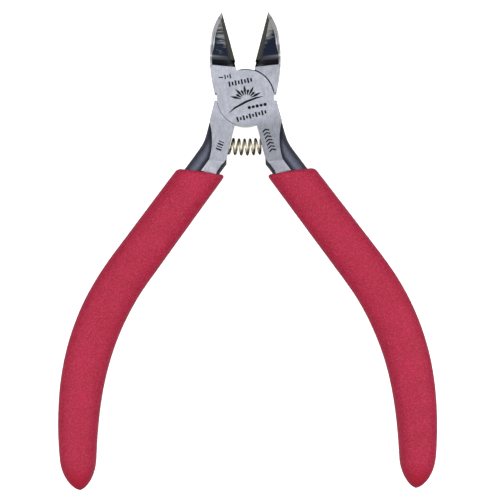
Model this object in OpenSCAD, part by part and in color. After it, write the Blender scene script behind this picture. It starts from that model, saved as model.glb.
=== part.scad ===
// Flush cutter for electronics work: two forged halves crossing in a lap joint,
// a flush rivet, a small return spring and two dipped grips.
// It lies flat: X across, Y towards the tips, Z through the thickness, pivot axis at X = Y = 0.
// Each half is drawn closed, its cutting edge on X = 0, and is then turned open about the pivot.

/* [Joint] */
// Angle between the two halves when the spring holds them open, in degrees
rest_opening = 29.7; // [22:0.1:30]
// Thickness through the lap joint
joint_t = 10; // [9.6:0.1:10.8]
// Radius of the round laps
lap_r = 7; // [6.8:0.05:7.1]
// Gap between the two laps, and between a lap and the pocket round it
lap_gap = 0.04; // [0.02:0.01:0.08]
// Radius of the rivet's shank
rivet_r = 2.5; // [2:0.1:2.8]
// Radius of the rivet's countersunk heads
rivet_head_r = 3.5; // [3.1:0.1:3.9]
// Radial clearance of the rivet in the rear half
rivet_play = 0.03; // [0.02:0.01:0.08]

/* [Jaws] */
// Distance from the pivot to the tips
jaw_reach = 22.3; // [21:0.1:24]
// Radius of the jaw's long outer side
jaw_side_r = 36.45; // [34:0.1:38]
// Radius of the outer curve that runs in to the tip
jaw_nose_r = 15.24; // [14.8:0.02:16]
// Where the cutting edge starts
edge_start = 9.6; // [9:0.1:10.5]
// Depth of the hollow below the front face, at the middle of its lip
hollow_depth = 4.86; // [4:0.02:5.2]
// Sideways slope of the hollow, down towards the cutting edge, in degrees
hollow_tilt = 21; // [15:0.5:23]
// Radius at the foot of the hollow's end wall
hollow_fillet = 1.5; // [1:0.1:2]
// Angle of the cutting bevel from the flush side, in degrees
bevel_angle = 66.9; // [60:0.1:72]
// Rise of the ground flush side towards the tips, in degrees
flush_angle = 6.7; // [4:0.1:9]

/* [Tangs] */
// Width of the forged tang where it enters the grip
tang_w = 7.44; // [7:0.02:7.8]
// Radius of the tang's rounded outer side
tang_side_r = 3.8; // [3.6:0.05:3.9]
// Radius of the hollow that bounds the ground flat of the tang
land_r = 16.6; // [15:0.1:18]
// Slope of the facet that runs down from the ground flat into the grip, in degrees
facet_angle = 23; // [20:0.5:28]
// Radius of the outer bend below the joint
tang_bend_r = 9; // [6:0.5:11]

/* [Grips] */
// Lean of the straight part of the handle when closed, in degrees
handle_lean = 21.81; // [21:0.1:23]
// Thickness of the grip, across the tool's flat faces
grip_t = 10; // [9.6:0.1:10.8]
// Width of the grip at its mouth
grip_w_mouth = 10.6; // [10.2:0.1:11]
// Width of the grip at its fullest
grip_w_max = 11.4; // [11:0.1:12]
// Radius of the handle's bow
bow_r = 63.3; // [60:0.5:68]
// Length of the grip along its centre line, from the neck to the end
grip_l = 81.7; // [76:0.1:90]

/* [Spring] */
// Outside diameter of the coil
coil_d = 4.3; // [3.8:0.1:4.5]
// Wire diameter
wire_d = 0.55; // [0.4:0.05:0.6]
// Number of turns
coil_turns = 12; // [9:1:13]
// Depth of the blind sockets that hold the spring
socket_depth = 4.2; // [3.5:0.1:4.6]
// Distance of the spring's middle below the pivot
spring_drop = 11.95; // [11.2:0.05:12.5]
// Lean of each spring socket, so that the spring bends evenly over the travel, in degrees
socket_lean = 7.6; // [4:0.2:10]

/* [Hidden] */
$fn = 96;
half_open = rest_opening / 2;
mid = joint_t / 2;
// Centres of the jaw's two outer arcs
side_x = jaw_side_r - 7.05;
side_y = 2.6;
nose_x = 9.67;
nose_y = jaw_reach - sqrt(jaw_nose_r * jaw_nose_r - nose_x * nose_x);
// The corners of the shoulders that would meet if the tool were forced wide open
jaw_shoulder = [-7.1, 2.95];
tang_shoulder = [7.14, -2.72];
tang_out = 7.12;
tang_in = 0.95;
land_c = [21.4, -16.2];
crease_out = [4.85, -17];
crease_in = [0.6, -16.5];
hw = tang_w / 2;
axis_off = hw - tang_side_r;
// The neck is the point on the handle's centre line that its lengths are counted from
neck = [7.846, -24.84];
neck_out = neck + hw * [cos(handle_lean), sin(handle_lean)];
bend_y = neck_out[1] + (neck_out[0] - tang_out) / tan(handle_lean);
bend_leg = tang_bend_r * tan(handle_lean / 2);
bend_end = (neck_out[1] - bend_y) / cos(handle_lean) + bend_leg;
straight_l = 25;
bow_l = 31.43;
tail_r = 100;
core_r = 3.5;
core_end_r = 2.8;
core_turn = 18;
fit_gap = 0.1;
socket_r = coil_d / 2 + 0.1;
// Where the socket's mouth lies, with the tool open, and the arc the spring follows between the mouths
mouth_x = 4;
sag_r = mouth_x / sin(socket_lean);
mouth_y = sag_r * (1 - cos(socket_lean)) - spring_drop;

// ---- One forged half, drawn closed ----

module jaw_plan() {
    far = 14;
    join_y = 16;
    intersection() {
        polygon([[0, 0], [-0.45, lap_r - 0.1], [-0.35, 8.4], [-0.3, edge_start - 0.3], [-0.01, edge_start],
            [-0.01, jaw_reach + 2], [-far, jaw_reach + 2], far / 7.1 * jaw_shoulder]);
        translate([side_x, side_y]) circle(r = jaw_side_r, $fn = 240);
        union() {
            translate([nose_x, nose_y]) circle(r = jaw_nose_r, $fn = 160);
            translate([-far, -1]) square([far + 1, join_y + 1]);
        }
    }
}

// The full-thickness flat of the tang, which the grinding leaves above the forged skin
module land_plan() {
    difference() {
        polygon([[-1, 0], [-1, crease_in[1]], [crease_in[0], crease_in[1]], crease_out,
            [tang_shoulder[0], crease_out[1]], tang_shoulder, [0, 0]]);
        translate(land_c) circle(r = land_r, $fn = 160);
    }
}

module on_handle() {
    translate([neck[0], neck[1], mid]) rotate([0, 0, handle_lean]) children();
}

module facet_cut() {
    d = crease_out - crease_in;
    translate([crease_in[0], crease_in[1], joint_t]) rotate([0, 0, atan2(d[1], d[0])])
        rotate([facet_angle, 0, 0]) translate([-6, -16, 0]) cube([16, 16, 6]);
}

module land() {
    linear_extrude(joint_t) land_plan();
    difference() {
        on_handle() translate([-hw, 3, -mid]) cube([hw + 0.15, 8.2, joint_t]);
        facet_cut();
        translate([0, 0, joint_t]) mirror([0, 0, 1]) facet_cut();
        translate([-6, crease_in[1] + 1.2, -1]) cube([20, 10, joint_t + 2]);
    }
}

// Section of the forged handle: flat inside with small chamfers, round outside
module tang_section(grow = 0) {
    r = tang_side_r + grow;
    flat = r - 0.1;
    side = hw + grow;
    translate([axis_off, 0]) circle(r = r, $fn = 72);
    polygon([[-side, flat - 0.6], [-side, 0.6 - flat], [0.6 - side, -flat], [axis_off, -flat],
        [axis_off, flat], [0.6 - side, flat]]);
}

module rod() {
    translate([tang_out - hw, -6.2, mid]) rotate([90, 0, 0])
        linear_extrude(-6.2 - (bend_y + bend_leg)) tang_section();
    // The bend is a hair fuller than the straight parts, which end just inside it
    translate([tang_out + tang_bend_r, bend_y + bend_leg, mid]) rotate([0, 0, 179])
        rotate_extrude(angle = handle_lean + 2) translate([tang_bend_r + hw, 0]) mirror([1, 0])
            tang_section(0.03);
    on_handle() {
        translate([0, -bend_end, 0]) rotate([90, 0, 0]) linear_extrude(-bend_end + 0.5) tang_section();
        rotate([90, 0, 0]) cylinder(h = straight_l, r1 = core_r, r2 = core_end_r);
        translate([-bow_r, -straight_l, 0]) rotate([0, 0, -core_turn])
            rotate_extrude(angle = core_turn + 0.2) translate([bow_r, 0]) circle(r = core_end_r - 0.03);
    }
}

module tang() {
    difference() {
        union() {
            land();
            rod();
        }
        // The inner side, which faces the other tang
        translate([0, 0, -1]) linear_extrude(joint_t + 2)
            polygon([[-8, 1], [-8, -16.77], [0.6, -16.77], crease_in, [0.85, -15.2], [tang_in, -9], [tang_in, 1]]);
    }
}

// The hollow behind the cutting edge: an end wall, a fillet and a long sloping floor
module hollow_cut() {
    lean = 15.3;
    fall = 6.65;
    d = hollow_depth * cos(hollow_tilt);
    foot = [d * tan(lean) / (1 - tan(lean) * tan(fall)), -d / (1 - tan(lean) * tan(fall))];
    // Half the angle between the wall and the floor, and the fillet's centre on its bisector
    half_corner = (90 + lean - fall) / 2;
    leg = hollow_fillet / tan(half_corner);
    wall_dir = [-sin(lean), cos(lean)];
    floor_dir = [cos(fall), -sin(fall)];
    c = foot + leg * floor_dir + hollow_fillet * [sin(fall), cos(fall)];
    translate([-3.25, 8.88, joint_t]) rotate([0, 0, -half_open]) rotate([0, hollow_tilt, 0])
        rotate([90, 0, 90]) translate([0, 0, -12]) linear_extrude(24) {
            polygon([foot + leg * floor_dir, foot + 18 * floor_dir, [18, 5], foot + 9.5 * wall_dir,
                foot + leg * wall_dir]);
            translate(c) circle(r = hollow_fillet + 0.03, $fn = 64);
        }
}

module bevel_cut() {
    translate([-0.01, 7.6, 0.6]) rotate([flush_angle, 0, 0]) rotate([0, bevel_angle - 90, 0])
        translate([0, edge_start - 7.7, -1]) cube([9, 18, 5.1]);
}

module flush_cut() {
    translate([-16, 7.6, 0.6]) rotate([flush_angle, 0, 0]) translate([0, 0, -6]) cube([24, 20, 6]);
}

module rivet_solid(extra) {
    r = rivet_r + extra;
    h = rivet_head_r - rivet_r;
    translate([0, 0, -extra]) cylinder(h = joint_t + 2 * extra, r = r);
    translate([0, 0, joint_t - h]) cylinder(h = h + extra, r1 = r, r2 = r + h + extra);
    translate([0, 0, -extra]) cylinder(h = h + extra, r1 = r + h + extra, r2 = r);
}

// top_lap: true for the half whose lap is at the front
module half(top_lap) {
    z0 = top_lap ? -1 : mid - lap_gap / 2;
    difference() {
        rotate([0, 0, half_open]) difference() {
            union() {
                linear_extrude(joint_t) {
                    jaw_plan();
                    circle(r = lap_r, $fn = 180);
                }
                tang();
            }
            hollow_cut();
            bevel_cut();
            flush_cut();
        }
        translate([0, 0, z0]) cylinder(h = mid + lap_gap / 2 + 1, r = lap_r + lap_gap, $fn = 180);
        rivet_solid(top_lap ? 0.01 : rivet_play);
        translate([mouth_x, mouth_y, mid]) rotate([0, 0, socket_lean]) translate([socket_depth, 0, 0])
            rotate([0, -90, 0]) cylinder(h = socket_depth + 2.2, r = socket_r);
    }
}

module front_half() {
    color("#c3c8d0") half(true);
}

module rear_half() {
    color("#aeb4bd") mirror([1, 0, 0]) half(false);
}

module pivot_rivet() {
    color("#8f949c") rivet_solid(0);
}

// ---- Grips ----

// Angle through which the handle's centre line has turned at a length s from the neck
function turn(s) = s < straight_l ? 0
    : s < straight_l + bow_l ? (s - straight_l) / bow_r * 180 / PI
    : (bow_l / bow_r + (s - straight_l - bow_l) / tail_r) * 180 / PI;
bow_turn = bow_l / bow_r * 180 / PI;
function centre(s) = let (a = turn(s))
    s < straight_l ? [0, -s]
    : s < straight_l + bow_l ? [-bow_r, -straight_l] + bow_r * [cos(a), -sin(a)]
    : [-bow_r, -straight_l] + (bow_r - tail_r) * [cos(bow_turn), -sin(bow_turn)] + tail_r * [cos(a), -sin(a)];
function place(s, off, z) = let (a = turn(s), c = centre(s)) [c[0] + off * cos(a), c[1] - off * sin(a), z];

// Width of the grip along its length, and the rounding in of its end
function swell(s) = s < 37 ? grip_w_mouth + (grip_w_max - grip_w_mouth) * (s + 6) / 43
    : grip_w_max - 0.00166 * (s - 37) * (s - 37);
cap_l = 7.7;
function cap(s) = s < grip_l - cap_l ? 1 : pow(max(0, 1 - pow((s - grip_l + cap_l) / cap_l, 2.15)), 0.62);

SIDES = 32;
mouth_s = -5.07;
mouth_slant = 0.545;
// How far a section at s is slanted: as the mouth is cut, fading to square across
function slant(s) = mouth_slant * max(0, 1 - (s - mouth_s) / 16);

function round_ring(s, inset) = [for (i = [0:SIDES - 1]) let (
    a = 360 * i / SIDES, e = 2 / 2.25,
    w = swell(s) * cap(s) / 2 - inset, h = grip_t / 2 * pow(cap(s), 0.9) - inset,
    off = w * sign(cos(a)) * pow(abs(cos(a)), e))
    place(s + slant(s) * off, off, h * sign(sin(a)) * pow(abs(sin(a)), e))];

// The cavity fits the tang: flat inside and round outside at the mouth, round further in
function tang_reach(a) = let (r = tang_side_r + fit_gap, w = hw + fit_gap)
    cos(a) > 0 ? axis_off * cos(a) + sqrt(r * r - pow(axis_off * sin(a), 2))
    : min(w / max(0.001, -cos(a)), r / max(0.001, abs(sin(a))));
function core_reach(s) = fit_gap + core_r - (core_r - core_end_r) * min(1, max(0, s) / straight_l);
function bore_ring(s, k) = [for (i = [0:SIDES - 1]) let (
    a = 360 * i / SIDES, r = s < 1 ? tang_reach(a) : core_reach(s), off = r * cos(a))
    place(s + k * off, off, r * sin(a))];

core_end = straight_l + bow_r * core_turn * PI / 180;
mouth_roll = 1;
rings = concat(
    [for (i = [0:6]) bore_ring(core_end + 0.4 - i * (core_end + 0.4 - straight_l) / 6, 0)],
    [bore_ring(12, 0), bore_ring(1.1, 0), bore_ring(0.9, 0), bore_ring(mouth_s + 0.3, mouth_slant)],
    [for (i = [0:4]) let (a = i * 22.5) round_ring(mouth_s + mouth_roll * (1 - cos(a)), mouth_roll * (1 - sin(a)))],
    [for (s = [0, 5, 10, 14, 18, 22]) round_ring(s, 0)],
    [for (i = [1:18]) round_ring(22 + i * 2.88, 0)],
    [for (i = [1:8]) round_ring(grip_l - cap_l + cap_l * sin(i * 11), 0)]
);
count = len(rings);

module grip() {
    points = concat([for (r = rings) each r], [place(core_end + 0.4, 0, 0), place(grip_l, 0, 0)]);
    inner_pole = count * SIDES;
    faces = concat(
        [for (i = [0:SIDES - 1]) [inner_pole, i, (i + 1) % SIDES]],
        [for (j = [0:count - 2], i = [0:SIDES - 1]) let (a = j * SIDES, n = (i + 1) % SIDES)
            each [[a + i, a + SIDES + i, a + SIDES + n], [a + i, a + SIDES + n, a + n]]],
        [for (i = [0:SIDES - 1]) let (a = (count - 1) * SIDES) [inner_pole + 1, a + (i + 1) % SIDES, a + i]]
    );
    rotate([0, 0, half_open]) on_handle() polyhedron(points, faces);
}

module front_grip() {
    color("#c4334f") grip();
}

module rear_grip() {
    color("#b92c47") mirror([1, 0, 0]) grip();
}

// ---- Return spring ----

STEPS = 13;
coil_r = (coil_d - wire_d) / 2;
sag_half = sag_r * socket_lean * PI / 180;
coil_half = sag_half + socket_depth - 0.1 - wire_d / 2;
// The end turns lie close together, and the turns between them are evenly spaced
end_pitch = wire_d + 0.1;
function along(t) = t < 1 ? -coil_half + end_pitch * t
    : t > coil_turns - 1 ? coil_half - end_pitch * (coil_turns - t)
    : -coil_half + end_pitch + (t - 1) * 2 * (coil_half - end_pitch) / (coil_turns - 2);
// The spring's axis: an arc between the sockets, straight inside them
function lean_at(l) = socket_lean * max(-1, min(1, l / sag_half));
function axis_at(l) = let (a = lean_at(l), rest = l - sag_half * max(-1, min(1, l / sag_half)))
    [sag_r * sin(a) + rest * cos(a), sag_r * (1 - cos(a)) + rest * sin(a)];
function wire_ring(t) = let (
    turned = 360 * t + 90, l = along(t), a = lean_at(l), p = axis_at(l),
    climb = (along(t + 0.01) - along(t - 0.01)) / 0.02, n = norm([climb, 2 * PI * coil_r]),
    c = 2 * PI * coil_r / n, s = climb / n)
    [for (k = [0:7]) let (b = 45 * k + 22.5, u = wire_d / 2 * cos(b), v = wire_d / 2 * sin(b),
        ahead = v * c, up = (coil_r + u) * cos(turned) + v * s * sin(turned),
        z = (coil_r + u) * sin(turned) - v * s * cos(turned))
        [p[0] + ahead * cos(a) - up * sin(a), p[1] + ahead * sin(a) + up * cos(a), z]];

module return_spring() {
    n = coil_turns * STEPS;
    points = [for (i = [0:n]) each wire_ring(i / STEPS)];
    faces = concat(
        [[for (k = [0:7]) k]],
        [for (i = [0:n - 1], k = [0:7]) let (a = 8 * i, m = (k + 1) % 8)
            each [[a + k, a + 8 + k, a + 8 + m], [a + k, a + 8 + m, a + m]]],
        [[for (k = [7:-1:0]) 8 * n + k]]
    );
    color("#b89a4a") translate([0, -spring_drop, mid]) polyhedron(points, faces);
}

front_half();
rear_half();
pivot_rivet();
return_spring();
front_grip();
rear_grip();
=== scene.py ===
import math

import bmesh
import bpy
from mathutils import Matrix, Vector
from mathutils.bvhtree import BVHTree


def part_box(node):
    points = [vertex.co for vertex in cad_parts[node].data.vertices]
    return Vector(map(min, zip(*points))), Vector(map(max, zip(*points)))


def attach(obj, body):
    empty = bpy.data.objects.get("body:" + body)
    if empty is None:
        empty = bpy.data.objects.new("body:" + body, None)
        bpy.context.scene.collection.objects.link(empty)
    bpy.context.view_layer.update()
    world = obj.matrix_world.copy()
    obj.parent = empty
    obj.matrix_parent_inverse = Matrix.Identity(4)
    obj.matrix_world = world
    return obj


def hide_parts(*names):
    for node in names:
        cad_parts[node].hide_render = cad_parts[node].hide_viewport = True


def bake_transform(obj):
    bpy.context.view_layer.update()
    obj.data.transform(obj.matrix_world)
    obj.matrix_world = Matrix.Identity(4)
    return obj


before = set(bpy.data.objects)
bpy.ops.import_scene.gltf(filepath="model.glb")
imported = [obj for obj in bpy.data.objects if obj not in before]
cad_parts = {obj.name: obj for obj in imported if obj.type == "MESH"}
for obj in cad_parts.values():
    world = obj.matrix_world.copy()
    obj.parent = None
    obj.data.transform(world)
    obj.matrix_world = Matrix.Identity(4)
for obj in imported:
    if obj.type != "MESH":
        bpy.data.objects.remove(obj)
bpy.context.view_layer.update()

# ---- Sizes, in metres and radians, from the imported model or given here ----

MM = 0.001
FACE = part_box("front_half")[1].z
MID = FACE / 2
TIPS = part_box("front_half")[1].y
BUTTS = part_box("front_grip")[0].y
LAP_R = 7.0 * MM
HALF_OPEN = math.radians(14.85)
WELD = 0.002 * MM
# The jaw's outer side is two arcs: (centre x, centre y, radius) with the jaw closed
JAW_SIDE = (29.4 * MM, 2.6 * MM, 36.45 * MM)
JAW_NOSE = (9.67 * MM, 10.52 * MM, 15.24 * MM)
ARCS_MEET = 16.0 * MM
JAW_REACH = 22.3 * MM
# One half's drawing in millimetres: where the tang's face turns down, the round that bounds its flat,
# the handle's start, lean and half width, and the outer corners of the two shoulders
CREASE_Y = -14.5
LAND_X, LAND_Y, LAND_R = 21.4, -16.2, 16.6
NECK = (7.846, -24.84)
LEAN = math.radians(21.81)
TANG_HALF = 3.72
JAW_SHOULDER = (-7.1, 2.95)
TANG_SHOULDER = (7.14, -2.72)
# The lip of the hollow on the open tool: its y at the middle in millimetres, and how it climbs sideways
LIP_Y, LIP_CLIMB = 7.55, 0.11
# Where the front lap's edge meets the rear half, in degrees round the joint: beside its jaw, and its tang
JAW_SEAM = (7, 106)
TANG_SEAM = (188, 262)
# The spring: its middle's y, and the diameters of its wire and of the whole coil
SPRING_Y = -11.95 * MM
WIRE = 0.55 * MM
COIL = 4.3 * MM

# ---- Tones ----

FLAT_DARK, FLAT_LIGHT = (0.33, 0.345, 0.395), (0.56, 0.58, 0.655)
MILLED_DARK, MILLED_LIGHT = (0.34, 0.36, 0.40), (0.52, 0.54, 0.59)
# The dark of the hollow's painted reflection
PAINTED_DARK_REFLECTION = (0.009, 0.012, 0.022)
SHADE = (0.003, 0.003, 0.003)
OLIVE_DARK, OLIVE_LIGHT = (0.038, 0.041, 0.030), (0.092, 0.096, 0.074)
SKIN_DARK, SKIN_LIGHT = (0.04, 0.045, 0.062), (0.21, 0.225, 0.30)
CRIMSON_DARK, CRIMSON_LIGHT = (0.35, 0.005, 0.028), (0.55, 0.013, 0.066)
GILT_DARK, GILT_LIGHT = (0.62, 0.54, 0.32), (0.95, 0.88, 0.66)


# ---- Node trees ----

class Wire:
    """One output of a node tree, so that a sum on it reads as plain Python."""

    def __init__(self, nodes, socket):
        self.nodes = nodes
        self.socket = socket

    def sum_of(self, operation, *values):
        return self.nodes.add("ShaderNodeMath", {"operation": operation}, dict(enumerate(values)))

    def __add__(self, other):
        return self.sum_of("ADD", self, other)

    def __radd__(self, other):
        return self.sum_of("ADD", other, self)

    def __sub__(self, other):
        return self.sum_of("SUBTRACT", self, other)

    def __rsub__(self, other):
        return self.sum_of("SUBTRACT", other, self)

    def __mul__(self, other):
        return self.sum_of("MULTIPLY", self, other)

    def __rmul__(self, other):
        return self.sum_of("MULTIPLY", other, self)

    def __truediv__(self, other):
        return self.sum_of("DIVIDE", self, other)

    def __rtruediv__(self, other):
        return self.sum_of("DIVIDE", other, self)

    def __pow__(self, other):
        return self.sum_of("POWER", self, other)

    def least(self, other):
        return self.sum_of("MINIMUM", self, other)

    def most(self, other):
        return self.sum_of("MAXIMUM", self, other)

    def above(self, other):
        return self.sum_of("GREATER_THAN", self, other)

    def size(self):
        return self.sum_of("ABSOLUTE", self)

    def sine(self):
        return self.sum_of("SINE", self)

    def cosine(self):
        return self.sum_of("COSINE", self)

    def step(self, low, high):
        """0 below low, 1 above high, and smooth between them."""
        settings = {"interpolation_type": "SMOOTHSTEP"}
        inputs = {"Value": self, "From Min": low, "From Max": high}
        return self.nodes.add("ShaderNodeMapRange", settings, inputs)


class Nodes:
    """A node tree that is being built."""

    def __init__(self, tree):
        self.tree = tree
        tree.nodes.clear()

    def add(self, kind, settings=None, inputs=None, output=0):
        """A new node: its settings first, then the values or links of its sockets. Gives one output."""
        made = self.tree.nodes.new(kind)
        for name, value in (settings or {}).items():
            if name == "stops":
                self.set_stops(made.color_ramp, value)
            else:
                setattr(made, name, value)
        for key, value in (inputs or {}).items():
            if isinstance(value, Wire):
                self.tree.links.new(value.socket, made.inputs[key])
            else:
                made.inputs[key].default_value = value
        return Wire(self, made.outputs[output]) if len(made.outputs) else made

    def set_stops(self, ramp, stops):
        while len(ramp.elements) < len(stops):
            ramp.elements.new(1.0)
        for element, (place, colour) in zip(ramp.elements, stops):
            element.position = place
            element.color = (*colour, 1.0)

    def split(self, vector):
        return [self.add("ShaderNodeSeparateXYZ", None, {0: vector}, output=i) for i in range(3)]

    def join(self, x, y, z):
        return self.add("ShaderNodeCombineXYZ", None, {0: x, 1: y, 2: z})

    def scaled(self, vector, factors):
        return self.add("ShaderNodeVectorMath", {"operation": "MULTIPLY"}, {0: vector, 1: factors})

    def noise(self, vector, size, detail=3.0, rough=0.5):
        """Noise whose blotches are about size across, in the units of the vector."""
        inputs = {"Vector": vector, "Scale": 1.0 / size, "Detail": detail, "Roughness": rough}
        return self.add("ShaderNodeTexNoise", None, inputs)

    def mix(self, factor, first, second):
        """A colour between two colours. Plain colours are (red, green, blue)."""
        first, second = [c if isinstance(c, Wire) else (*c, 1.0) for c in (first, second)]
        settings = {"data_type": "RGBA", "clamp_factor": True}
        return self.add("ShaderNodeMix", settings, {0: factor, 6: first, 7: second}, output=2)

    def ramp(self, factor, stops):
        return self.add("ShaderNodeValToRGB", {"stops": stops}, {0: factor})

    def bump(self, height, depth):
        """A normal from a height of 0 to 1 that stands for a depth in metres."""
        inputs = {"Height": height, "Distance": depth, "Strength": 1.0}
        return self.add("ShaderNodeBump", None, inputs)


def finish_of(name, fixed, paint):
    """A material: fixed goes straight on the shader's sockets, paint(nodes) gives what varies."""
    material = bpy.data.materials.new(name)
    material.use_nodes = True
    nodes = Nodes(material.node_tree)
    shader = nodes.add("ShaderNodeBsdfPrincipled", None, {**fixed, **paint(nodes)})
    nodes.add("ShaderNodeOutputMaterial", None, {"Surface": shader})
    return material


def drawn_place(nodes, side):
    """Object coordinates in millimetres, turned back to the closed drawing of one half."""
    place = nodes.add("ShaderNodeTexCoord", output="Object")
    inputs = {"Vector": place, "Rotation": (0, 0, -HALF_OPEN), "Scale": (side / MM, 1 / MM, 1 / MM)}
    return nodes.add("ShaderNodeMapping", None, inputs)


def open_place(nodes):
    """Object coordinates in millimetres, as the open tool lies."""
    place = nodes.add("ShaderNodeTexCoord", output="Object")
    return nodes.add("ShaderNodeMapping", None, {"Vector": place, "Scale": (1 / MM, 1 / MM, 1 / MM)})


# ---- Finishes ----

def ground_steel(name, side, jaw, tang):
    """Satin flats: grinding lines along the tool, with a faint mottle.

    The disc has the full tone. jaw and tang are painted light: how much lighter or darker those two are
    painted beside it, for how the light falls on them.
    """
    def paint(nodes):
        place = open_place(nodes)
        y = nodes.split(drawn_place(nodes, side))[1]
        # Painted light: the jaw and the tang are painted lighter or darker than the disc
        level = 1.0 + y.step(4.5, 8.0) * (jaw - 1.0) + (y * -1.0).step(4.5, 8.5) * (tang - 1.0)
        lines = nodes.noise(nodes.scaled(place, (1.0, 0.12, 1.0)), 0.22, 4.0, 0.65)
        fine = nodes.noise(nodes.scaled(place, (1.0, 0.3, 1.0)), 0.12, 2.0, 0.5)
        mottle = nodes.noise(place, 1.2, 4.0, 0.65)
        tone = (lines * 0.5 + fine * 0.35 + mottle * 0.45).step(0.38, 0.92)
        colour = nodes.mix(tone, FLAT_DARK, FLAT_LIGHT)
        colour = nodes.add("ShaderNodeVectorMath", {"operation": "SCALE"}, {0: colour, "Scale": level})
        normal = nodes.bump(lines + fine, 0.006 * MM)
        return {"Base Color": colour, "Roughness": 0.32 + lines * 0.16, "Normal": normal}
    return finish_of(name, {"Metallic": 1.0}, paint)


def machined_steel():
    """The sides of the joint and jaws, milled and lightly polished."""
    def paint(nodes):
        place = open_place(nodes)
        lines = nodes.noise(nodes.scaled(place, (0.3, 0.3, 1.5)), 0.3, 3.0, 0.6)
        colour = nodes.mix(lines, MILLED_DARK, MILLED_LIGHT)
        normal = nodes.bump(lines, 0.004 * MM)
        return {"Base Color": colour, "Roughness": 0.28 + lines * 0.15, "Normal": normal}
    return finish_of("machined steel", {"Metallic": 1.0}, paint)


def hollow_steel(side):
    """The polished hollow with its reflections painted in: dark at its foot, streaked across, brighter
    towards the tip, with a painted highlight band along the wall.
    """
    def paint(nodes):
        place = open_place(nodes)
        x, y = nodes.split(place)[:2]
        # Distance from the cutting edge, and distance above the lip
        outward = nodes.split(drawn_place(nodes, side))[0] * -1.0
        up = y - x.size() * LIP_CLIMB - LIP_Y
        streaks = nodes.noise(nodes.scaled(place, (0.3, 2.6, 0.5)), 0.8, 4.0, 0.7)
        blotch = nodes.noise(nodes.scaled(place, (0.7, 1.6, 1.0)), 1.1, 3.0, 0.6)
        # Painted reflection: where the hollow's floor is painted light, in streaks that rise towards the
        # tip
        if side > 0:
            painted_reflection = (up * 0.065 - outward * 0.07 + streaks * 2.6 + blotch * 0.4 - 1.63).step(0.0, 0.8)
        else:
            painted_reflection = (up * 0.14 - outward * 0.16 + blotch * 0.7 + streaks * 1.5 - 1.56).step(0.0, 0.72)
        # Painted reflection: the tone of the lit parts, grey low down and olive-grey towards the tip
        tip = nodes.mix((up / 14.0).step(0.3, 1.0), (0.27, 0.28, 0.275), (0.19, 0.192, 0.178))
        painted_floor_reflection = nodes.mix(painted_reflection, PAINTED_DARK_REFLECTION, tip)
        # The wall is painted with its reflections: dark, with a painted highlight band across its rounded
        # foot
        wall = nodes.ramp(up / 3.2, [
            (0.0, (0.018, 0.020, 0.030)), (0.2, (0.045, 0.05, 0.07)), (0.36, (0.085, 0.09, 0.11)),
            (0.48, (0.15, 0.15, 0.17)), (0.60, (0.11, 0.11, 0.13)), (0.76, (0.012, 0.015, 0.026))])
        # Painted shade: the wall's inner end beside the edge is painted near black and not metallic, and
        # is bare metal elsewhere
        outside_painted_shade = outward.step(0.5, 1.9).most(up.step(1.6, 2.4))
        wall = nodes.mix(outside_painted_shade, SHADE, wall)
        colour = nodes.mix(up.step(2.5, 2.9), wall, painted_floor_reflection)
        normal = nodes.bump(streaks, 0.006 * MM)
        return {"Base Color": colour, "Roughness": 0.2 + streaks * 0.2, "Metallic": outside_painted_shade, "Normal": normal}
    return finish_of(f"polished hollow {side}", {"Specular IOR Level": 0.0}, paint)


def bevel_steel(side):
    """The ground bevel behind the cutting edge: dark olive, with painted shade, near black, at its root.
    """
    def paint(nodes):
        place = drawn_place(nodes, side)
        x, y = nodes.split(place)[:2]
        lines = nodes.noise(nodes.scaled(place, (1.5, 0.4, 1.5)), 0.25, 3.0, 0.6)
        colour = nodes.mix(lines, OLIVE_DARK, OLIVE_LIGHT)
        colour = nodes.mix((x * -1.0).step(0.75, 1.15), colour, (0.022, 0.025, 0.026))
        # Painted shade: the bevel's root is painted near black and not metallic
        above_root = (y - 9.6).step(0.2, 0.9)
        colour = nodes.mix(above_root, SHADE, colour)
        return {
            "Base Color": colour, "Roughness": 0.3 + lines * 0.15, "Metallic": above_root * 0.9,
            "Normal": nodes.bump(lines, 0.003 * MM)}
    return finish_of(f"ground bevel {side}", {"Specular IOR Level": 0.0}, paint)


def inside_arc(x, y, arc):
    """How far a place is inside an arc of the jaw's outer side, in millimetres."""
    cx, cy, r = arc
    return r / MM - ((x - cx / MM) ** 2 + (y - cy / MM) ** 2) ** 0.5


def rim_steel(side, tone):
    """The narrow polished rim outside the hollow, with a fine dark line painted along it. tone is painted
    light: how light the whole rim is painted.
    """
    # Painted light: the whole rim is painted lighter or darker by tone
    dark = (0.74 * tone, 0.75 * tone, 0.78 * tone)
    light = (0.92 * tone, 0.92 * tone, 0.93 * tone)

    def paint(nodes):
        place = drawn_place(nodes, side)
        x, y = nodes.split(place)[:2]
        lines = nodes.noise(nodes.scaled(place, (1.0, 0.4, 1.0)), 0.3, 3.0, 0.6)
        colour = nodes.mix(lines, dark, light)
        inside = inside_arc(x, y, JAW_SIDE).least(inside_arc(x, y, JAW_NOSE))
        off = (inside - 0.34 - (y - 12.2) * 0.052).size()
        # A fine dark line painted along the rim, a little in from its outer side
        line = (1.0 - off.step(0.05, 0.16)) * (1.0 - y.step(16.6, 18.8))
        colour = nodes.mix(line * 0.9, colour, (0.10, 0.105, 0.12))
        return {"Base Color": colour, "Roughness": 0.28 + lines * 0.1}
    return finish_of(f"polished rim {side}", {"Metallic": 1.0}, paint)


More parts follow.
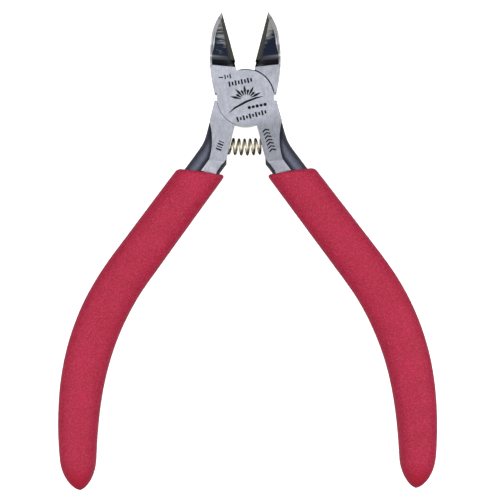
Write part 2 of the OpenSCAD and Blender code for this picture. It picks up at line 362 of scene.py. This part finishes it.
def forged_skin(side):
    """The forging's own dark skin on the rounded outsides of the tangs, with a painted highlight streak
    along the middle and painted shade beside the ground flat.
    """
    def paint(nodes):
        place = drawn_place(nodes, side)
        x, y = nodes.split(place)[:2]
        scale = nodes.noise(place, 0.6, 4.0, 0.65)
        drawn = nodes.noise(nodes.scaled(place, (1.0, 0.3, 1.0)), 0.5, 3.0, 0.6)
        from_arc = LAND_R - ((x - LAND_X) ** 2 + (y - LAND_Y) ** 2) ** 0.5
        off = (x - NECK[0]) * math.cos(LEAN) + (y - NECK[1]) * math.sin(LEAN)
        beside = from_arc.least(off - 0.15)
        tone = (scale * 0.5 + drawn * 0.5).step(0.25, 0.85)
        # Painted highlight: a lighter streak along the middle of the tang
        painted_highlight = off.step(0.7, 1.7) * (1.0 - off.step(2.2, 3.3))
        colour = nodes.mix(tone * 0.5 + painted_highlight * 0.6, SKIN_DARK, SKIN_LIGHT)
        # Painted shade: darker beside the ground flat
        colour = nodes.mix(beside.size().step(0.1, 1.2), (0.018, 0.02, 0.03), colour)
        normal = nodes.bump(scale, 0.02 * MM)
        return {"Base Color": colour, "Roughness": 0.46 + scale * 0.2, "Normal": normal}
    return finish_of(f"forged skin {side}", {"Metallic": 0.8}, paint)


def dipped_vinyl():
    """The grips: crimson dipped vinyl with a fine wrinkled skin and a few pale specks."""
    def paint(nodes):
        place = open_place(nodes)
        wrinkle = nodes.noise(place, 0.42, 3.0, 0.6)
        broad = nodes.noise(place, 4.0, 3.0, 0.5)
        tone = (wrinkle * 0.8 + broad * 0.3).step(0.28, 0.80)
        colour = nodes.mix(tone, CRIMSON_DARK, CRIMSON_LIGHT)
        # Pale grain all over, apart from the smooth drips at the ends
        end = (nodes.split(place)[1] * -1.0 + BUTTS / MM).step(-6.5, -1.5)
        grain = nodes.noise(place, 0.32, 1.0, 0.5).step(0.48, 0.68)
        pores = nodes.noise(nodes.scaled(place, (1.0, 1.0, -1.0)), 0.4, 1.0, 0.5).step(0.50, 0.72)
        colour = nodes.mix(grain * 0.42, colour, (0.68, 0.070, 0.150))
        colour = nodes.mix(pores * 0.45, colour, (0.26, 0.003, 0.018))
        colour = nodes.mix(end * 0.8, colour, (0.46, 0.006, 0.030))
        # A few pale specks, in about a quarter of the cells
        cell = {"Vector": place, "Scale": 0.9}
        reach = nodes.add("ShaderNodeTexVoronoi", {"feature": "F1"}, cell)
        lot = nodes.add("ShaderNodeTexVoronoi", {"feature": "F1"}, cell, output="Color")
        speck = (1.0 - reach.step(0.03, 0.11)) * nodes.split(lot)[0].above(0.72)
        colour = nodes.mix(speck * 0.55, colour, (0.72, 0.33, 0.36))
        normal = nodes.bump(wrinkle + speck * 0.3, 0.13 * MM)
        return {"Base Color": colour, "Roughness": 0.5 + wrinkle * 0.16, "Normal": normal}
    return finish_of("dipped vinyl", {"Metallic": 0.0, "Specular IOR Level": 0.34}, paint)


def gilt_wire():
    """The spring's yellow plated wire, worn in places, with painted shade round the two sides of the coil.
    """
    def paint(nodes):
        place = open_place(nodes)
        y = nodes.split(place)[1]
        wear = nodes.noise(place, 0.5, 3.0, 0.6)
        colour = nodes.mix(wear, GILT_DARK, GILT_LIGHT)
        # Painted shade: the coil is painted dark round its two sides
        aside = (y - SPRING_Y / MM - 0.1).size()
        colour = nodes.mix(aside.step(1.05, 1.75), colour, (0.055, 0.045, 0.022))
        return {"Base Color": colour, "Roughness": 0.2 + wear * 0.14}
    return finish_of("gilt wire", {"Metallic": 1.0}, paint)


def etched_black():
    """Marks etched into the flats, nearly black and dull."""
    def paint(nodes):
        grain = nodes.noise(open_place(nodes), 0.12, 2.0, 0.5)
        colour = nodes.mix(grain, (0.002, 0.002, 0.003), (0.012, 0.012, 0.016))
        return {"Base Color": colour, "Roughness": 0.7 + grain * 0.2}
    return finish_of("etched black", {"Metallic": 0.0, "Specular IOR Level": 0.2}, paint)


# ---- Mesh helpers ----

def piece_from(work, name):
    """A linked object whose mesh is taken from a bmesh."""
    mesh = bpy.data.meshes.new(name)
    work.to_mesh(mesh)
    work.free()
    if "custom_normal" in mesh.attributes:
        mesh.attributes.remove(mesh.attributes["custom_normal"])
    piece = bpy.data.objects.new(name, mesh)
    bpy.context.scene.collection.objects.link(piece)
    return piece


def settle(piece):
    """Makes a piece's modifiers part of its mesh."""
    graph = bpy.context.evaluated_depsgraph_get()
    made = bpy.data.meshes.new_from_object(piece.evaluated_get(graph), depsgraph=graph)
    piece.modifiers.clear()
    piece.data = made
    return piece


def welded_copy(node, name, flat_angle):
    """A closed copy of a CAD node, with triangles that lie in one plane joined."""
    work = bmesh.new()
    work.from_mesh(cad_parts[node].data)
    bmesh.ops.remove_doubles(work, verts=work.verts, dist=WELD)
    if flat_angle:
        bmesh.ops.dissolve_limit(work, angle_limit=flat_angle, verts=work.verts, edges=work.edges)
    else:
        bmesh.ops.join_triangles(
            work, faces=work.faces, angle_face_threshold=0.7, angle_shape_threshold=3.1)
    bmesh.ops.recalc_face_normals(work, faces=work.faces)
    return piece_from(work, name)


def swept_cutter(sections, name, material):
    """A closed solid through sections that each have the same number of points."""
    work = bmesh.new()
    rings = [[work.verts.new(point) for point in section] for section in sections]
    for ring, following in zip(rings, rings[1:]):
        for i in range(len(ring)):
            j = (i + 1) % len(ring)
            work.faces.new((ring[i], ring[j], following[j], following[i]))
    work.faces.new(rings[0])
    work.faces.new(rings[-1])
    bmesh.ops.recalc_face_normals(work, faces=work.faces)
    cutter = piece_from(work, name)
    cutter.data.materials.append(material)
    return cutter


def carve(piece, cutter):
    """Takes a cutter out of a piece. The cut faces take the cutter's material."""
    cut = piece.modifiers.new("cut", "BOOLEAN")
    cut.object = cutter
    cut.operation = "DIFFERENCE"
    cut.solver = "EXACT"
    cut.material_mode = "TRANSFER"
    settle(piece)
    bpy.data.objects.remove(cutter)
    # Slivers are welded away, so that the next cut starts from a clean closed mesh
    work = bmesh.new()
    work.from_mesh(piece.data)
    bmesh.ops.remove_doubles(work, verts=work.verts, dist=WELD / 4)
    bmesh.ops.dissolve_degenerate(work, edges=work.edges, dist=WELD / 4)
    work.to_mesh(piece.data)
    work.free()


# ---- The two forged halves ----

def opened(point, side):
    """A point of the closed drawing, where it lies on the open tool. The rear half is a mirror image."""
    turned = Matrix.Rotation(HALF_OPEN, 3, "Z") @ Vector(point)
    return Vector((turned.x * side, turned.y, turned.z))


def closed_back(vector, side):
    """The opposite of opened, for a place or a direction."""
    return Matrix.Rotation(-HALF_OPEN, 3, "Z") @ Vector((vector[0] * side, vector[1], vector[2]))


def jaw_outside(y):
    """x of the jaw's outer side at a height y of the closed drawing, and the outward direction there."""
    found = []
    for cx, cy, r in (JAW_SIDE, JAW_NOSE):
        x = cx - math.sqrt(r * r - (y - cy) ** 2)
        found.append((x, Vector((x - cx, y - cy, 0)).normalized()))
    # The arcs nearly touch over a few millimetres, so the change from one to the other is gradual
    share = min(1.0, max(0.0, (y - ARCS_MEET) / (3 * MM) + 0.5))
    (side_x, side_out), (nose_x, nose_out) = found
    return side_x * (1 - share) + nose_x * share, side_out.lerp(nose_out, share).normalized()


def edge_cutter(piece, side, path, material):
    """A cutter that chamfers an upper edge.

    path is a list of (edge point, outward direction, width, slope) on the closed drawing.
    """
    surface = BVHTree.FromObject(piece, bpy.context.evaluated_depsgraph_get())
    past = 0.3 * MM
    sections = []
    for edge, out, width, slope in path:
        inner = edge - width * out
        place = opened(inner, side)
        over = surface.ray_cast(place + Vector((0, 0, FACE * 2)), Vector((0, 0, -1)))[0]
        under = surface.ray_cast(place - Vector((0, 0, FACE * 2)), Vector((0, 0, 1)))[0]
        height = over.z
        # A thin edge is chamfered less, so that half of it is left
        drop = min(width * math.tan(slope), (over.z - under.z) / 2) * (width + past) / width
        outer = edge + past * out
        corners = (
            (inner.x, inner.y, height), (outer.x, outer.y, height - drop),
            (outer.x, outer.y, FACE * 1.2), (inner.x, inner.y, FACE * 1.2))
        sections.append([opened(corner, side) for corner in corners])
    return swept_cutter(sections, "edge cutter", material)


def rim_path(count=64):
    """The rim outside the hollow, from its lip to the tip."""
    start = 9.2 * MM
    end = JAW_REACH - 0.15 * MM
    path = []
    for i in range(count + 1):
        y = start + (end - start) * i / count
        x, out = jaw_outside(y)
        # Narrow and steep beside the lip and its wall, then wide and nearly flat
        flat = min(1.0, max(0.0, (y / MM - 12.0) / 0.6))
        width = (0.12 + 0.36 * min(1.0, (y - start) / (0.6 * MM)) + 0.1 * flat) * MM
        width += 0.16 * max(0.0, min(15.0 * MM, y) - 12.6 * MM)
        width = min(width, max(0.12 * MM, -0.6 * x / max(0.3, -out.x)))
        path.append((Vector((x, y, 0)), out, width, math.radians(56 - 17 * flat - 8 * flat * i / count)))
    return path


def shoulder_path(corner):
    """The upper edge of a shoulder, from the lap to its corner, facing the other shoulder."""
    end = Vector((*corner, 0)) * MM
    out = Vector((-end.y, end.x, 0)).normalized()
    begin = end.normalized() * (LAP_R + 0.1 * MM)
    return [(begin.lerp(end, t), out, 0.2 * MM, math.radians(55)) for t in (0.0, 0.5, 0.97)]


def tang_path():
    """The inner side of the tang, from above the crease down into the grip."""
    turn = Matrix.Rotation(LEAN, 2)
    neck = Vector(NECK)
    slope = math.radians(46)
    path = [(Vector((0.76, -15.7, 0)) * MM, Vector((-1, 0, 0)), 0.04 * MM, slope),
            (Vector((0.6, -16.5, 0)) * MM, Vector((-0.97, -0.2, 0)).normalized(), 0.45 * MM, slope)]
    for along in (9.4, 7.5, 5.5):
        point = neck + turn @ Vector((-TANG_HALF, along))
        out = turn @ Vector((-1, 0))
        path.append((Vector((point.x, point.y, 0)) * MM, Vector((out.x, out.y, 0)), 0.68 * MM, slope))
    return path


def seam_cutter(start, end, half_width, material):
    """A fine V-shaped groove round the front lap, over the angles where it meets the other half."""
    sections = []
    count = 60
    for i in range(count + 1):
        t = i / count
        a = math.radians(start + (end - start) * t)
        out = Vector((math.cos(a), math.sin(a), 0))
        width = half_width * min(1.0, 0.15 + 12 * t, 0.15 + 12 * (1 - t))
        # Past the other half's jaw the groove becomes a wider dark edge
        width *= 1.0 + 0.8 * min(1.0, max(0.0, (math.degrees(a) - 72) / 6)) * (a < math.pi)
        middle = (LAP_R + 0.02 * MM) * out
        sections.append([
            middle - width * out + Vector((0, 0, FACE)), middle + Vector((0, 0, FACE - width * 1.2)),
            middle + width * out + Vector((0, 0, FACE)), middle + Vector((0, 0, FACE + width))])
    return swept_cutter(sections, "seam cutter", material)


REGIONS = ["face", "slope", "side", "hollow", "bevel", "skin"]


def region_of(centre, normal):
    """Which finish a face has, by where it lies on the closed drawing, in millimetres."""
    x, y, z = centre / MM
    if abs(normal.z) > 0.995 and (z > FACE / MM - 0.05 or z < 0.6):
        return "face"
    if y > 6.5 and math.hypot(x, y) > 7.3 and z > 0.6 and normal.z > 0.04:
        return "bevel" if normal.x > 0.75 else "hollow"
    if y < CREASE_Y and 0.9 < abs(normal.z) < 0.94 and normal.y < -0.3:
        return "slope"
    if y < -8.5 and normal.x > -0.5 or y < -16.0:
        return "skin"
    return "side"


def forged_half(node, name, side, finishes):
    """One forging: the frame's own form with its finishes, its chamfers and the groove of the seam."""
    piece = welded_copy(node, name, math.radians(0.4))
    for region in REGIONS:
        piece.data.materials.append(finishes[region])
    for face in piece.data.polygons:
        region = region_of(closed_back(face.center, side), closed_back(face.normal, side))
        face.material_index = REGIONS.index(region)
    carve(piece, edge_cutter(piece, side, tang_path(), finishes["skin"]))
    carve(piece, edge_cutter(piece, side, rim_path(), finishes["rim"]))
    carve(piece, edge_cutter(piece, side, shoulder_path(JAW_SHOULDER), finishes["side"]))
    carve(piece, edge_cutter(piece, side, shoulder_path(TANG_SHOULDER), finishes["side"]))
    carve(piece, seam_cutter(*JAW_SEAM, 0.15 * MM, finishes["seam"]))
    carve(piece, seam_cutter(*TANG_SEAM, 0.08 * MM, finishes["side"]))
    piece.data.shade_smooth()
    piece.data.set_sharp_from_angle(angle=math.radians(28))
    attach(piece, node)
    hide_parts(node)
    return piece


# ---- Grips ----

def interface(tree, inputs):
    """Declares a tree's geometry sockets and its named inputs, and gives the inputs' identifiers."""
    tree.interface.new_socket("Geometry", in_out="INPUT", socket_type="NodeSocketGeometry")
    tree.interface.new_socket("Geometry", in_out="OUTPUT", socket_type="NodeSocketGeometry")
    names = {}
    for name, kind in inputs.items():
        names[name] = tree.interface.new_socket(name, in_out="INPUT", socket_type=kind).identifier
    return names


def grow(piece, tree, names, values):
    """Runs a geometry tree on a piece and keeps the result as its mesh."""
    modifier = piece.modifiers.new(tree.name, "NODES")
    modifier.node_group = tree
    for name, value in values.items():
        modifier[names[name]] = value
    return settle(piece)


def finished_tree(nodes, geometry, material):
    """Ends a tree: real geometry, smooth, with its material."""
    real = nodes.add("GeometryNodeRealizeInstances", None, {0: geometry})
    smooth = nodes.add("GeometryNodeSetShadeSmooth", None, {0: real})
    painted = nodes.add("GeometryNodeSetMaterial", None, {0: smooth, "Material": material})
    nodes.add("NodeGroupOutput", None, {0: painted})


def vinyl_skin_tree():
    """Rounds a grip's plain form and raises the wrinkled skin that dipping leaves."""
    tree = bpy.data.node_groups.new("vinyl skin", "GeometryNodeTree")
    names = interface(tree, {
        "Rounding": "NodeSocketInt", "Wrinkle size": "NodeSocketFloat",
        "Wrinkle height": "NodeSocketFloat", "Wave height": "NodeSocketFloat",
        "Seed": "NodeSocketFloat", "Finish": "NodeSocketMaterial"})
    nodes = Nodes(tree)
    given = {name: nodes.add("NodeGroupInput", None, None, name) for name in ["Geometry", *names]}
    inputs = {0: given["Geometry"], "Level": given["Rounding"]}
    rounded = nodes.add("GeometryNodeSubdivisionSurface", None, inputs)
    place = nodes.add("GeometryNodeInputPosition")
    settings = {"noise_dimensions": "4D"}
    inputs = {"Vector": place, "W": given["Seed"], "Scale": 1.0 / given["Wrinkle size"], "Detail": 2.0}
    wrinkle = nodes.add("ShaderNodeTexNoise", settings, inputs)
    inputs = {"Vector": place, "W": given["Seed"], "Scale": 0.12 / given["Wrinkle size"], "Detail": 1.0}
    wave = nodes.add("ShaderNodeTexNoise", settings, inputs)
    rise = (wrinkle - 0.5) * given["Wrinkle height"] + (wave - 0.5) * given["Wave height"]
    normal = nodes.add("GeometryNodeInputNormal")
    offset = nodes.add("ShaderNodeVectorMath", {"operation": "SCALE"}, {0: normal, "Scale": rise})
    raised = nodes.add("GeometryNodeSetPosition", None, {"Geometry": rounded, "Offset": offset})
    finished_tree(nodes, raised, given["Finish"])
    return tree, names


def dipped_grip(node, name, body, skin, finish, seed):
    """A grip: the frame's plain form, rounded, with the wrinkled skin on it."""
    piece = welded_copy(node, name, 0)
    tree, names = skin
    grow(piece, tree, names, {
        "Rounding": 3, "Wrinkle size": 0.9 * MM, "Wrinkle height": 0.07 * MM,
        "Wave height": 0.10 * MM, "Seed": seed, "Finish": finish})
    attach(piece, body)
    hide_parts(node)
    return piece


# ---- Return spring ----

def coil_tree():
    """A helix of round wire whose axis bends in an arc between two sockets."""
    tree = bpy.data.node_groups.new("coil", "GeometryNodeTree")
    names = interface(tree, {
        "Turns": "NodeSocketInt", "Steps": "NodeSocketInt", "Coil radius": "NodeSocketFloat",
        "Wire radius": "NodeSocketFloat", "Half length": "NodeSocketFloat", "End pitch": "NodeSocketFloat",
        "Bend radius": "NodeSocketFloat", "Socket lean": "NodeSocketFloat", "Drop": "NodeSocketFloat",
        "Height": "NodeSocketFloat", "Finish": "NodeSocketMaterial"})
    nodes = Nodes(tree)
    given = {name: nodes.add("NodeGroupInput", None, None, name) for name in names}
    count = given["Turns"] * given["Steps"] + 1
    line = nodes.add("GeometryNodeMeshLine", {"mode": "OFFSET"}, {"Count": count, "Offset": (MM, 0, 0)})
    turn = nodes.add("GeometryNodeInputIndex") / given["Steps"]
    # Distance along the axis: close end turns, and even turns between them
    middle = 2 * (given["Half length"] - given["End pitch"]) / (given["Turns"] - 2)
    ends = turn.least(1) + (turn - (given["Turns"] - 1)).most(0)
    inside = (turn - 1).most(0).least(given["Turns"] - 2)
    along = ends * given["End pitch"] + inside * middle - given["Half length"]
    sag = given["Bend radius"] * given["Socket lean"]
    share = (along / sag).least(1).most(-1)
    lean = share * given["Socket lean"]
    past = along - share * sag
    x = given["Bend radius"] * lean.sine() + past * lean.cosine()
    y = given["Bend radius"] * (1 - lean.cosine()) + past * lean.sine()
    angle = turn * (2 * math.pi) + math.pi / 2
    up = angle.cosine() * given["Coil radius"]
    place = nodes.join(x - up * lean.sine(), y + up * lean.cosine() - given["Drop"],
                       angle.sine() * given["Coil radius"] + given["Height"])
    helix = nodes.add("GeometryNodeSetPosition", None, {"Geometry": line, "Position": place})
    path = nodes.add("GeometryNodeMeshToCurve", None, {0: helix})
    inputs = {"Resolution": 12, "Radius": given["Wire radius"]}
    section = nodes.add("GeometryNodeCurvePrimitiveCircle", None, inputs)
    inputs = {"Curve": path, "Profile Curve": section, "Fill Caps": True}
    wire = nodes.add("GeometryNodeCurveToMesh", None, inputs)
    finished_tree(nodes, wire, given["Finish"])
    return tree, names


def return_spring(finish):
    """The coil between the tangs. It bends where it is free, and is straight in the two sockets."""
    lean = math.radians(7.6)
    reach = 4.0 * MM
    bend = reach / math.sin(lean)
    in_socket = 4.2 * MM
    gap = 0.1 * MM
    piece = piece_from(bmesh.new(), "return_coil")
    tree, names = coil_tree()
    grow(piece, tree, names, {
        "Turns": 12, "Steps": 26, "Coil radius": (COIL - WIRE) / 2, "Wire radius": WIRE / 2,
        "Half length": bend * lean + in_socket - gap - WIRE / 2, "End pitch": WIRE + gap,
        "Bend radius": bend, "Socket lean": lean, "Drop": -SPRING_Y, "Height": MID, "Finish": finish})
    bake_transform(piece)
    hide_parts("return_spring")
    return piece


# ---- Marks: plain ticks, dots, strokes and chevrons, with no lettering ----

def outline_of(points, widths):
    """The closed outline of a stroke along points, with a width at each."""
    left = []
    right = []
    for i, point in enumerate(points):
        before = Vector(points[max(0, i - 1)])
        after = Vector(points[min(len(points) - 1, i + 1)])
        along = (after - before).normalized()
        across = Vector((-along.y, along.x)) * (widths[i] / 2)
        left.append(Vector(point) + across)
        right.append(Vector(point) - across)
    return left + right[::-1]


def add_plate(work, outline, level):
    """A thin closed plate, half sunk in the face at that level. The outline is in millimetres."""
    depth = 0.03 * MM
    low, high = level - depth * 0.6, level + depth * 0.4
    below = [work.verts.new((p[0] * MM, p[1] * MM, low)) for p in outline]
    over = [work.verts.new((p[0] * MM, p[1] * MM, high)) for p in outline]
    work.faces.new(below[::-1])
    work.faces.new(over)
    for i in range(len(outline)):
        j = (i + 1) % len(outline)
        work.faces.new((below[i], below[j], over[j], over[i]))


def dot(radius, count=14):
    turns = [2 * math.pi * i / count for i in range(count)]
    return [(radius * math.cos(turn), radius * math.sin(turn)) for turn in turns]


def bar(width, height):
    x, y = width / 2, height / 2
    return [(-x, -y), (x, -y), (x, y), (-x, y)]


def row_tree():
    """Repeats one stroke along a straight row, with every other one shorter."""
    tree = bpy.data.node_groups.new("mark row", "GeometryNodeTree")
    names = interface(tree, {
        "Count": "NodeSocketInt", "First": "NodeSocketVector", "Step": "NodeSocketVector",
        "Turn": "NodeSocketFloat", "Short share": "NodeSocketFloat", "Finish": "NodeSocketMaterial"})
    nodes = Nodes(tree)
    given = {name: nodes.add("NodeGroupInput", None, None, name) for name in ["Geometry", *names]}
    inputs = {"Count": given["Count"], "Start Location": given["First"], "Offset": given["Step"]}
    row = nodes.add("GeometryNodeMeshLine", {"mode": "OFFSET"}, inputs)
    index = nodes.add("GeometryNodeInputIndex")
    odd = index.sum_of("MODULO", index, 2)
    scale = nodes.join(1, 1 - odd * (1 - given["Short share"]), 1)
    turn = nodes.join(0, 0, given["Turn"])
    inputs = {"Points": row, "Instance": given["Geometry"], "Rotation": turn, "Scale": scale}
    strokes = nodes.add("GeometryNodeInstanceOnPoints", None, inputs)
    finished_tree(nodes, strokes, given["Finish"])
    return tree, names


def mark_row(rows, outline, count, first, step, turn, short, finish):
    """A row of strokes on the front face, all sizes in millimetres."""
    work = bmesh.new()
    add_plate(work, outline, 0.0)
    piece = piece_from(work, "row")
    tree, names = rows
    return grow(piece, tree, names, {
        "Count": count, "First": (first[0] * MM, first[1] * MM, FACE),
        "Step": (step[0] * MM, step[1] * MM, 0), "Turn": turn, "Short share": short, "Finish": finish})


def join_pieces(name, parts, finish):
    """One flat-shaded piece from several, which are removed."""
    work = bmesh.new()
    for part in parts:
        work.from_mesh(part.data)
        bpy.data.objects.remove(part)
    bmesh.ops.recalc_face_normals(work, faces=work.faces)
    for face in work.faces:
        face.material_index = 0
        face.smooth = False
    piece = piece_from(work, name)
    piece.data.materials.append(finish)
    return piece


def fan_sign():
    """A plain sign of a clean cut: strokes that fan out above a long wire."""
    work = bmesh.new()
    wire = [(-4.0, -3.7), (-2.6, -2.5), (0.2, -1.0), (2.6, -0.1), (4.2, 0.25)]
    add_plate(work, outline_of(wire, [0.1, 0.45, 0.55, 0.45, 0.12]), FACE)
    for i in range(9):
        angle = math.radians(30 + 17 * i)
        reach = 0.74 if i % 2 else 1.0
        stroke = [(0.2 + 4.0 * far * math.cos(angle), 3.6 * far * math.sin(angle) - 0.6)
                  for far in (0.34, 0.45 + 0.25 * reach, reach)]
        add_plate(work, outline_of(stroke, [0.12, 0.62, 0.1]), FACE)
    return piece_from(work, "sign")


def marks(finish):
    """The marks that move with the front half, and those on the rear tang."""
    rows = row_tree()
    slant = math.atan2(1.1, 5.8)
    along = Vector((math.cos(slant), math.sin(slant)))
    lot_slant = 0.26
    lot_along = Vector((math.cos(lot_slant), math.sin(lot_slant)))
    front = [
        mark_row(rows, bar(1.05, 0.28), 1, (-6.0, 4.94), (0, 0), 0.0, 1.0, finish),
        mark_row(rows, bar(0.3, 1.1), 3, (-4.95, 5.05), (0.62, 0.1), slant, 0.6, finish),
        mark_row(rows, bar(0.42, 1.3), 8, (-3.9, 3.3), 0.77 * along, slant, 0.7, finish),
        mark_row(rows, dot(0.42), 5, (0.9, -2.45), 0.98 * along, slant, 0.85, finish),
        mark_row(rows, bar(0.44, 1.25), 10, (-1.95, -5.35), 0.78 * lot_along, lot_slant, 0.6, finish),
        fan_sign()]
    chevron = [(-0.85, -0.35), (0, 0.1), (0.85, -0.35), (0.85, 0.05), (0, 0.5), (-0.85, 0.05)]
    front.append(mark_row(rows, chevron, 7, (6.5, -12.9), (-0.27, 0.8), 0.32, 0.85, finish))
    joint_marks = join_pieces("joint_marks", front, finish)
    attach(joint_marks, "front_half")
    rear = [mark_row(rows, bar(1.4, 0.4), 4, (-6.65, -12.6), (0.24, 0.6), -0.4, 0.6, finish)]
    tang_marks = join_pieces("tang_marks", rear, finish)
    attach(tang_marks, "rear_half")


# ---- Studio ----

def floor():
    """A pale floor that shows white to the camera and throws no colour back on the tool."""
    work = bmesh.new()
    bmesh.ops.create_grid(work, x_segments=1, y_segments=1, size=1.2)
    piece = piece_from(work, "floor")
    piece.data.transform(Matrix.Translation((0, (TIPS + BUTTS) / 2, -0.02 * MM)))

    def paint(nodes):
        speckle = nodes.noise(open_place(nodes), 30.0, 2.0, 0.5)
        return {"Base Color": nodes.mix(speckle, (0.86, 0.86, 0.86), (0.88, 0.88, 0.88))}
    fixed = {"Roughness": 0.9, "Emission Color": (1, 1, 1, 1), "Emission Strength": 0.9}
    piece.data.materials.append(finish_of("pale floor", fixed, paint))
    piece.visible_glossy = False
    piece.visible_diffuse = False


def softbox(name, place, size, power, aim):
    lamp = bpy.data.lights.new(name, "AREA")
    lamp.shape = "RECTANGLE"
    lamp.size, lamp.size_y = size
    lamp.energy = power
    holder = bpy.data.objects.new(name, lamp)
    holder.location = place
    holder.rotation_euler = (Vector(aim) - Vector(place)).to_track_quat("-Z", "Y").to_euler()
    bpy.context.scene.collection.objects.link(holder)


def studio():
    floor()
    centre = (0, (TIPS + BUTTS) / 2, 0)
    softbox("left softbox", (-0.5, 0.0, 0.45), (0.4, 0.9), 1.65, centre)
    softbox("right softbox", (0.5, 0.0, 0.45), (0.4, 0.9), 1.95, centre)
    world = bpy.data.worlds.new("studio")
    bpy.context.scene.world = world
    world.use_nodes = True
    nodes = Nodes(world.node_tree)
    direction = nodes.add("ShaderNodeTexCoord", output="Generated")
    height = nodes.split(direction)[2]
    glow = nodes.ramp(height * 0.5 + 0.5, [
        (0.0, (0.9, 0.9, 0.9)), (0.12, (0.6, 0.6, 0.6)), (0.3, (0.2, 0.2, 0.2)), (0.5, (0.26, 0.26, 0.27)),
        (0.75, (0.46, 0.46, 0.47)), (0.94, (0.80, 0.80, 0.80))])
    light = nodes.add("ShaderNodeBackground", None, {"Color": glow, "Strength": 1.0})
    nodes.add("ShaderNodeOutputWorld", None, {"Surface": light})
    bpy.context.scene.view_settings.view_transform = "Standard"


def camera():
    """Looks straight down on the tool from well above, as for a catalogue."""
    above = 0.8
    frame_width = 122.9 * MM
    roll = math.radians(0.364)
    # Where the joint's axis is in the view, from the view's middle
    aside = Vector((-1.09 * MM, 37.25 * MM, 0))
    spot = Matrix.Rotation(-roll, 3, "Z") @ -aside
    lens = bpy.data.cameras.new("camera")
    lens.sensor_width = 36.0
    lens.lens = lens.sensor_width * above / frame_width
    lens.clip_start = 0.01
    holder = bpy.data.objects.new("camera", lens)
    holder.location = (spot.x, spot.y, MID + above)
    holder.rotation_euler = (0, 0, -roll)
    bpy.context.scene.collection.objects.link(holder)
    bpy.context.scene.camera = holder


camera()
studio()
black = etched_black()
shared = {"side": machined_steel(), "seam": black}
# Each half's side, and the painted light of its jaw, tang, slopes and rim: how light each is painted
halves = (("front_half", 1, 1.09, 0.66, 1.12, 1.0), ("rear_half", -1, 0.87, 0.9, 1.33, 0.85))
for body, side, jaw, tang, slope, rim in halves:
    forged_half(body, body + "_forging", side, {
        **shared, "face": ground_steel(f"ground flats {side}", side, jaw, tang),
        "slope": ground_steel(f"ground slopes {side}", side, jaw, slope), "hollow": hollow_steel(side),
        "bevel": bevel_steel(side), "rim": rim_steel(side, rim), "skin": forged_skin(side)})
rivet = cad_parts["pivot_rivet"]
rivet.data.materials.clear()
rivet.data.materials.append(bpy.data.materials["ground flats 1"])
vinyl = dipped_vinyl()
skin_tree = vinyl_skin_tree()
dipped_grip("front_grip", "front_grip_sleeve", "front_half", skin_tree, vinyl, 1.0)
dipped_grip("rear_grip", "rear_grip_sleeve", "rear_half", skin_tree, vinyl, 7.0)
return_spring(gilt_wire())
marks(black)
